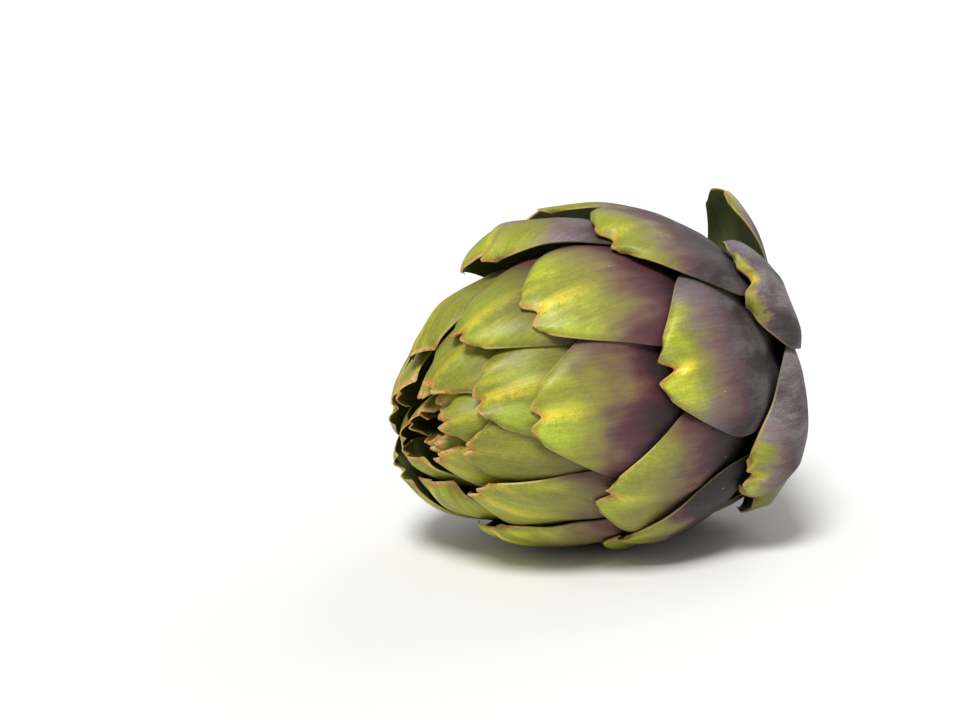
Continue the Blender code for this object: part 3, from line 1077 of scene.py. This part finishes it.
    def bump(self, height: object, strength: float, depth: float) -> Socket:
        """Turn a height into a bumped normal.

        Args:
            height: The height, from 0 to 1.
            strength: How much of the bump shows.
            depth: How deep 1 is, in metres.

        Returns:
            The normal's socket.
        """
        fed = {"Height": height, "Strength": strength, "Distance": depth}
        return self.join("ShaderNodeBump", fed)

    def dress(self, **sockets: object) -> bpy.types.Material:
        """Feed the surface shader's sockets, named with _ for a space.

        Args:
            sockets: What goes into each.

        Returns:
            The finished material.
        """
        for name, value in sockets.items():
            self.feed(self.surface.inputs[name.replace("_", " ")], value)
        return self.material


@dataclass(frozen=True)
class Wave:
    """A noise over a bract: its waves per millimetre across and along, and its finer layers."""

    across: float
    along: float
    scale: float = 1.0
    layers: float = 3.0
    roughness: float = 0.55
    shift: float = 0.0


FIBRE = Wave(2.6, 0.11, layers=4.0, roughness=0.6)
CLOUD = Wave(0.085, 0.05)
MOTTLE = Wave(1.0, 0.6, scale=0.9, layers=5.0, roughness=0.65)
STREAKS = Wave(0.42, 0.05, roughness=0.5)
GRAIN = Wave(1.0, 0.7, scale=2.6, layers=4.0, roughness=0.7)
# The noise of the painted highlights near the tip.
HIGHLIGHT_WAVE = Wave(0.10, 0.055, layers=2.0, shift=4.7)


@dataclass(frozen=True)
class BractSkin:
    """The waxy skin of a bract: purple at the base, through olive to yellow green at the tip, with
    painted shade where other bracts cover it and painted highlights and sheen.

    A depth or width is in millimetres from the tip or the edge, a reach is in shares of the
    green's, and a veil is a stretch of a noise.
    """

    name: str
    # Painted shade over the real dark purple base: the darkest colour, far down where other bracts
    # cover it.
    shade: Colour = (0.016, 0.006, 0.008)
    purple: Colour = (0.090, 0.026, 0.032)
    brown: Colour = (0.150, 0.088, 0.052)
    olive: Colour = (0.225, 0.198, 0.040)
    green: Colour = (0.268, 0.278, 0.030)
    # Painted highlight: the light green of the patches near the tip.
    bright: Colour = (0.400, 0.475, 0.036)
    # The keel's yellow: partly the skin's own, partly a painted highlight along the ridge.
    keel: Colour = (0.740, 0.620, 0.050)
    # Silvery grey: the real waxy bloom, with painted sheen where light falls from above.
    bloom_and_sheen: Colour = (0.300, 0.250, 0.255)
    pale_rim: Colour = (0.600, 0.470, 0.140)
    tan_rim: Colour = (0.460, 0.200, 0.040)
    inside: Colour = (0.120, 0.155, 0.045)
    vein: Colour = (0.180, 0.200, 0.065)
    fleck: Colour = (0.640, 0.600, 0.420)
    cloud_wander: float = 26.0
    fine_wander: float = 9.0
    # Painted shade: a band along the edges, which lie under neighbouring bracts, is made less green
    # and darker.
    edge_shade_width: float = 9.0
    edge_shade_depth: Band = (6.0, 26.0)
    green_reach: Band = (0.05, 1.75)
    bloom_and_sheen_veil: Band = (0.47, 0.80)
    # Where the painted highlights lie: a stretch of their noise, shares of the green's reach,
    # millimetres from the edge.
    highlight_veil: Band = (0.38, 0.62)
    highlight_reach: Band = (0.15, 0.95)
    highlight_width: Band = (0.3, 2.0)
    fan_veil: Band = (0.48, 0.66)
    fan_reach: float = 0.8
    least_fan: float = 3.0
    keel_depth: Band = (0.0, 22.0)
    keel_width: Band = (2.2, 3.4)
    keel_reach: Band = (0.1, 0.9)
    scorch_depth: Band = (2.0, 5.5)
    spot_veil: Band = (0.66, 0.76)
    fleck_scale: float = 2.3
    fleck_size: Band = (0.03, 0.05)
    near_tip: Band = (1.5, 9.0)
    rim_width: float = 0.22
    rim_growth: float = 0.85
    rim_depth: Band = (4.0, 18.0)
    relief: float = 0.18 * MM

    def material(self) -> bpy.types.Material:
        """Build the skin's material."""
        return BractShader(self).finished()


class BractShader(Shader):
    """The nodes of a bract's skin, which read the measures that its mesh carries.

    A noise mostly stays in its usual stretch.
    """

    usual: Band = (0.3, 0.7)

    def __init__(self, finish: BractSkin) -> None:
        """Read the mesh's measures and the noises that the layers share.

        Args:
            finish: The skin's colours and measures.
        """
        super().__init__(finish.name)
        self.finish = finish
        self.side, self.from_tip, self.edge = self.split("place")
        self.green_reach, self.keel_share, self.bloom_and_sheen_share = self.split("look")
        self.inner_face, seed, self.rim_share = self.split("skin")
        self.own_light_and_tone = self.join("ShaderNodeAttribute", {}, "Fac", attribute_name="tone")
        self.shift = self.times(seed, 11.3)
        self.fibre, self.cloud, self.mottle, self.streaks, self.grain = (
            self.wave(wave) for wave in (FIBRE, CLOUD, MOTTLE, STREAKS, GRAIN)
        )
        self.greenness = self.grow_green()
        self.wax_and_sheen = self.wax_and_sheen_over()
        self.painted_highlight = self.find_painted_highlight()

    def wave_place(self, wave: Wave) -> Socket:
        """Give the place at which a noise is read, shifted from bract to bract.

        Args:
            wave: The noise.

        Returns:
            The place's socket.
        """
        return self.vector(
            self.times(self.side, wave.across), self.times(self.from_tip, wave.along),
            self.plus(self.shift, wave.shift),
        )

    def wave(self, wave: Wave) -> Socket:
        """Read a noise over the bract."""
        return self.noise(self.wave_place(wave), wave.scale, wave.layers, wave.roughness)

    def within_green(self, value: Socket, reach: Band) -> Socket:
        """Go from 1 to 0 over a stretch given in shares of the green's reach."""
        return self.fade(value, *(self.times(self.green_reach, share) for share in reach))

    def grow_green(self) -> Socket:
        """Find how green the flesh is: most at the tip, least far down, with a ragged end and less
        towards the edges as painted shade.

        Returns:
            The share's socket.
        """
        finish = self.finish
        wander = self.plus(self.swing(self.cloud, finish.cloud_wander), *(
            self.swing(wave, finish.fine_wander)
            for wave in (self.streaks, self.mottle, self.grain)
        ))
        # Painted shade along the edges, where neighbouring bracts cover them.
        width = finish.edge_shade_width
        edge_shade = self.times(self.step(self.edge, 0.0, width, width, 0.0),
                            self.step(self.from_tip, *finish.edge_shade_depth))
        return self.within_green(self.plus(self.from_tip, wander, edge_shade), finish.green_reach)

    def wax_and_sheen_over(self) -> Socket:
        """Find how much of the silvery bloom and painted sheen shows, least where the flesh is
        green.

        Returns:
            The share's socket.
        """
        veil = self.plus(self.cloud, self.times(self.grain, 0.15), self.times(self.fibre, 0.10))
        veil = self.step(veil, *self.finish.bloom_and_sheen_veil, 0.15, 0.95)
        return self.times(self.bloom_and_sheen_share, veil, self.step(self.greenness, 0.5, 0.95, 1.0, 0.05))

    def find_painted_highlight(self) -> Socket:
        """Find where painted highlights, light green patches, lie near the tip, off the edges.

        Returns:
            The share's socket.
        """
        finish = self.finish
        patches = self.plus(self.wave(HIGHLIGHT_WAVE), self.swing(self.streaks, 0.18))
        return self.times(
            self.step(patches, *finish.highlight_veil),
            self.within_green(self.from_tip, finish.highlight_reach),
            self.step(self.edge, *finish.highlight_width),
        )

    def flesh(self) -> Socket:
        """Colour the flesh from the purple base, darkest as painted shade, to the green tip, under
        its bloom, painted sheen and painted highlights.

        Returns:
            The colour's socket.
        """
        finish = self.finish
        # The first stop is painted shade over the real dark base, where other bracts cover it.
        flesh = self.ramp(
            self.greenness, (0.0, finish.shade), (0.18, finish.purple), (0.38, finish.brown),
            (0.62, finish.olive), (0.95, finish.green),
        )
        # The real waxy bloom, with painted sheen, laid over the flesh.
        flesh = self.mix(self.wax_and_sheen, flesh, finish.bloom_and_sheen)
        # Painted highlight, strongest on bracts with a strong keel.
        painted_highlight = self.times(self.painted_highlight, self.step(self.keel_share, 0.15, 0.9))
        return self.mix(painted_highlight, flesh, finish.bright)

    def keel_over(self, flesh: Socket) -> Socket:
        """Lay the yellow keel, partly its own yellow and partly a painted highlight on the ridge,
        its fan of streaks and the scorched tip over the flesh.

        Args:
            flesh: The colour below.

        Returns:
            The colour's socket.
        """
        finish = self.finish
        fan_reach = self.maths("MAXIMUM", self.times(self.green_reach, finish.fan_reach),
                               finish.least_fan)
        fan = self.times(self.step(self.streaks, *finish.fan_veil),
                         self.fade(self.from_tip, 2.0, fan_reach), 0.35)
        keel_side = self.maths("ABSOLUTE", self.plus(self.side, self.swing(self.mottle, 3.0)))
        keel_width = self.step(self.from_tip, *finish.keel_depth, *finish.keel_width)
        streak = self.times(self.fade(keel_side, 0.2, keel_width),
                            self.within_green(self.from_tip, finish.keel_reach))
        # Partly the keel's own yellow, partly a painted highlight along the ridge.
        streak = self.times(self.maths("MAXIMUM", streak, fan), self.keel_share)
        flesh = self.mix(streak, flesh, finish.keel)
        scorch = self.plus(self.from_tip, self.times(keel_side, 0.6), self.times(self.grain, 3.0))
        scorch = self.times(self.step(scorch, *finish.scorch_depth, 0.7, 0.0), self.rim_share)
        return self.mix(scorch, flesh, finish.tan_rim)

    def lit_and_weathered(self, flesh: Socket) -> Socket:
        """Lighten and darken the flesh by its painted light and tone and by its fibres, and scatter
        brown spots and pale flecks.

        Args:
            flesh: The colour below.

        Returns:
            The colour's socket.
        """
        finish = self.finish
        # Painted light and shade: each bract's tone share makes it lighter or darker as a whole,
        # with the real fibres, mottle and grain.
        tone = self.times(
            self.own_light_and_tone, self.step(self.fibre, *self.usual, 0.90, 1.07),
            self.step(self.mottle, *self.usual, 0.90, 1.09),
            self.step(self.grain, *self.usual, 0.84, 1.12),
        )
        flesh = self.mix(1.0, flesh, self.vector(tone, tone, tone), Blend.DARKEN)
        spot = self.times(self.step(self.mottle, *finish.spot_veil), 0.35)
        flesh = self.mix(spot, flesh, finish.brown)
        fleck = self.spots(self.wave_place(CLOUD), finish.fleck_scale)
        fleck = self.times(self.fade(fleck, *finish.fleck_size), 0.4)
        return self.mix(fleck, flesh, finish.fleck)

    def inside_over(self, flesh: Socket) -> Socket:
        """Give the inner face its own paler, veined colour.

        Args:
            flesh: The outer face's colour.

        Returns:
            The colour's socket.
        """
        finish = self.finish
        inside = self.mix(self.step(self.fibre, 0.35, 0.7), finish.inside, finish.vein)
        # Olive patches on the inner face follow the painted highlights and the mottle.
        patches = self.step(self.plus(self.painted_highlight, self.mottle), 0.6, 1.5, 0.0, 0.6)
        return self.mix(self.inner_face, flesh, self.mix(patches, inside, finish.olive))

    def rim_over(self, flesh: Socket) -> Socket:
        """Lay the dry rim along the edge, tan and wide at the tip, pale and thin below.

        Args:
            flesh: The colour below.

        Returns:
            The colour's socket.
        """
        finish = self.finish
        near_tip = self.fade(self.from_tip, *finish.near_tip)
        width = self.plus(finish.rim_width, self.times(near_tip, self.rim_share, finish.rim_growth))
        width = self.times(width, self.step(self.mottle, *self.usual, 0.5, 1.6))
        tanned = self.times(near_tip, self.step(self.mottle, 0.42, 0.6, 0.25, 1.0))
        colour = self.mix(tanned, finish.pale_rim, finish.tan_rim)
        rim = self.times(
            self.fade(self.edge, self.times(width, 0.3), width),
            self.step(self.from_tip, *finish.rim_depth, 1.0, 0.06),
            self.step(self.rim_share, 0.0, 0.8, 0.35, 1.0),
        )
        return self.mix(rim, flesh, colour)

    def finished(self) -> bpy.types.Material:
        """Lay the layers over one another, with the skin's roughness and relief.

        Returns:
            The finished material.
        """
        rough = self.step(self.greenness, 0.2, 0.9, 0.62, 0.42)
        rough = self.plus(self.times(self.wax_and_sheen, 0.2), rough)
        relief = self.plus(self.times(self.fibre, 0.6), self.times(self.mottle, 0.4))
        skin = self.inside_over(self.lit_and_weathered(self.keel_over(self.flesh())))
        return self.dress(
            Base_Color=self.rim_over(skin), Roughness=rough,
            Normal=self.bump(relief, 0.35, self.finish.relief), Specular_IOR_Level=0.35,
        )


@dataclass(frozen=True)
class StemFlesh:
    """Pale green flesh and a fibrous stem, browned where it was cut; sizes are millimetres."""

    name: str = "stem_flesh"
    skin: Colour = (0.260, 0.290, 0.110)
    groove: Colour = (0.110, 0.120, 0.050)
    cut: Colour = (0.560, 0.520, 0.300)
    browned: Colour = (0.230, 0.140, 0.060)
    strands_across: float = 1.2
    strands_along: float = 0.12
    ring_start: Band = (4.2, 5.6)
    ring_end: Band = (6.6, 7.8)
    browned_from: Band = (7.0, 10.5)
    face_end: Band = (-1.45, -1.3)
    relief: float = 0.4 * MM

    def material(self) -> bpy.types.Material:
        """Build the flesh's material.

        Returns:
            The finished material.
        """
        flesh = Shader(self.name)
        across, up, along = flesh.split("place")
        out = flesh.maths("SQRT", flesh.plus(flesh.times(across, across), flesh.times(up, up)))
        strand_place = flesh.vector(
            flesh.times(across, self.strands_across), flesh.times(up, self.strands_across),
            flesh.times(along, self.strands_along),
        )
        strand = flesh.noise(strand_place, 1.0, 4.0, 0.6)
        skin = flesh.mix(flesh.step(strand, 0.35, 0.62), self.groove, self.skin)
        pore = flesh.fade(flesh.spots(strand_place, 0.75), 0.12, 0.3)
        ring = flesh.times(flesh.step(out, *self.ring_start), flesh.fade(out, *self.ring_end))
        cut = flesh.mix(flesh.times(pore, flesh.plus(0.25, ring)), self.cut, self.groove)
        dry = flesh.step(flesh.plus(out, flesh.times(strand, 4.0)), *self.browned_from)
        cut = flesh.mix(dry, cut, self.browned)
        colour = flesh.mix(flesh.fade(along, *self.face_end), skin, cut)
        return flesh.dress(
            Base_Color=colour, Roughness=0.62, Normal=flesh.bump(strand, 0.6, self.relief),
        )


@dataclass
class Head:
    """The whole head: its heart and its bracts, grown from the inside out."""

    outline: HeadOutline
    axis: HeadAxis
    heart: Heart
    bract_count: int = 40
    first_inner: int = 21

    def build(self) -> list[bpy.types.Object]:
        """Build every piece of the head.

        Returns:
            The finished pieces.
        """
        outer_skin = BractSkin("outer_bract_skin").material()
        inner_skin = BractSkin("inner_bract_skin").material()
        pieces = [self.heart.build(self.axis, StemFlesh().material())]
        log.info("%s: %d faces", pieces[0].name, len(pieces[0].data.polygons))
        heart = (*self.heart.outline, (self.heart.top, self.heart.top_radius))
        envelope = Envelope(self.outline, heart)
        for number in range(self.bract_count, 0, -1):
            bract = Bract(number, self.outline)
            bract.lay_out()
            bract.shape(envelope.core, envelope.station_step)
            bract.settle(envelope)
            is_inner = number >= self.first_inner
            piece = bract.build(self.axis, inner_skin if is_inner else outer_skin)
            log.info("%s: %d faces", piece.name, len(piece.data.polygons))
            pieces.append(piece)
        return pieces


@dataclass
class Studio:
    """A pale floor, soft light and the camera."""

    axis: HeadAxis
    floor_size: float = 12.0
    floor_colour: Colour = (0.90, 0.90, 0.89)
    sky_light: float = 0.33
    sky_seen: float = 1.0
    azimuth: float = -35.0
    elevation: float = 13.0
    lens: float = 85.0
    sensor: float = 36.0
    distance: float = 0.6476
    aimed_along: float = 58 * MM
    right_of_centre: float = 0.1406
    below_centre: float = 0.0260

    def build(self) -> None:
        """Set up the floor, the lights and the camera."""
        self.lay_floor()
        self.light()
        self.place_camera()
        log.info("studio ready")

    def lay_floor(self) -> None:
        """Lay a plain pale floor under the head."""
        mesh = bmesh.new()
        bmesh.ops.create_grid(mesh, x_segments=2, y_segments=2, size=self.floor_size / 2)
        paint = Shader("floor_paint").dress(Base_Color=self.floor_colour, Roughness=0.9)
        add_mesh("floor", mesh, paint)

    def light(self) -> None:
        """Add a soft key light, a light from behind and an even white sky."""
        world = bpy.data.worlds.new("studio")
        world.use_nodes = True
        sky = world.node_tree.nodes["Background"]
        sky.inputs["Color"].default_value = (1.0, 1.0, 1.0, 1)
        rays = world.node_tree.nodes.new("ShaderNodeLightPath")
        seen = world.node_tree.nodes.new("ShaderNodeMapRange")
        seen.inputs["To Min"].default_value = self.sky_light
        seen.inputs["To Max"].default_value = self.sky_seen
        world.node_tree.links.new(rays.outputs["Is Camera Ray"], seen.inputs["Value"])
        world.node_tree.links.new(seen.outputs["Result"], sky.inputs["Strength"])
        bpy.context.scene.world = world
        self.lamp("key", place=(-0.55, -0.40, 1.1), power=2.75, spread=20)
        self.lamp("back", place=(0.9, 0.35, 0.55), power=0.6, spread=40)
        bpy.context.scene.view_settings.view_transform = "Standard"

    def lamp(self, name: str, place: tuple[float, float, float], power: float,
             spread: float) -> None:
        """Add one soft lamp, far away, that faces the head.

        Args:
            name: The lamp's name.
            place: The direction that it shines from.
            power: Its power in watts a square metre.
            spread: How wide it looks from the head, in degrees.
        """
        data = bpy.data.lights.new(name, "SUN")
        data.energy = power
        data.angle = math.radians(spread)
        lamp = add_object(name, data)
        lamp.location = place
        lamp.rotation_euler = (-Vector(place)).to_track_quat("-Z", "Y").to_euler()

    def place_camera(self) -> None:
        """Place the camera so that a point of the head's axis falls where it should."""
        turn, tilt = math.radians(self.azimuth), math.radians(self.elevation)
        right = np.array([math.cos(turn), math.sin(turn), 0])
        back = np.array([
            math.sin(turn) * math.cos(tilt), -math.cos(turn) * math.cos(tilt), math.sin(tilt),
        ])
        up = np.cross(back, right)
        scale = self.distance * self.sensor / self.lens
        target = self.axis.point(np.array(self.aimed_along), np.array(0.0), np.array(0.0))
        place = target + back * self.distance
        place = place - right * self.right_of_centre * scale + up * self.below_centre * scale
        data = bpy.data.cameras.new("camera")
        data.lens = self.lens
        data.sensor_width = self.sensor
        data.clip_start = 0.01
        camera = add_object("camera", data)
        camera.location = place
        camera.rotation_mode = "QUATERNION"
        camera.rotation_quaternion = (-Vector(back)).to_track_quat("-Z", "Y")
        bpy.context.scene.camera = camera


def main() -> None:
    """Build the head and the studio."""
    logging.basicConfig(level=logging.INFO, format="%(name)s: %(message)s")
    axis = HeadAxis()
    pieces = Head(HeadOutline(), axis, Heart()).build()
    Studio(axis).build()
    log.info("%d pieces", len(pieces))


if __name__ == "__main__":
    main()
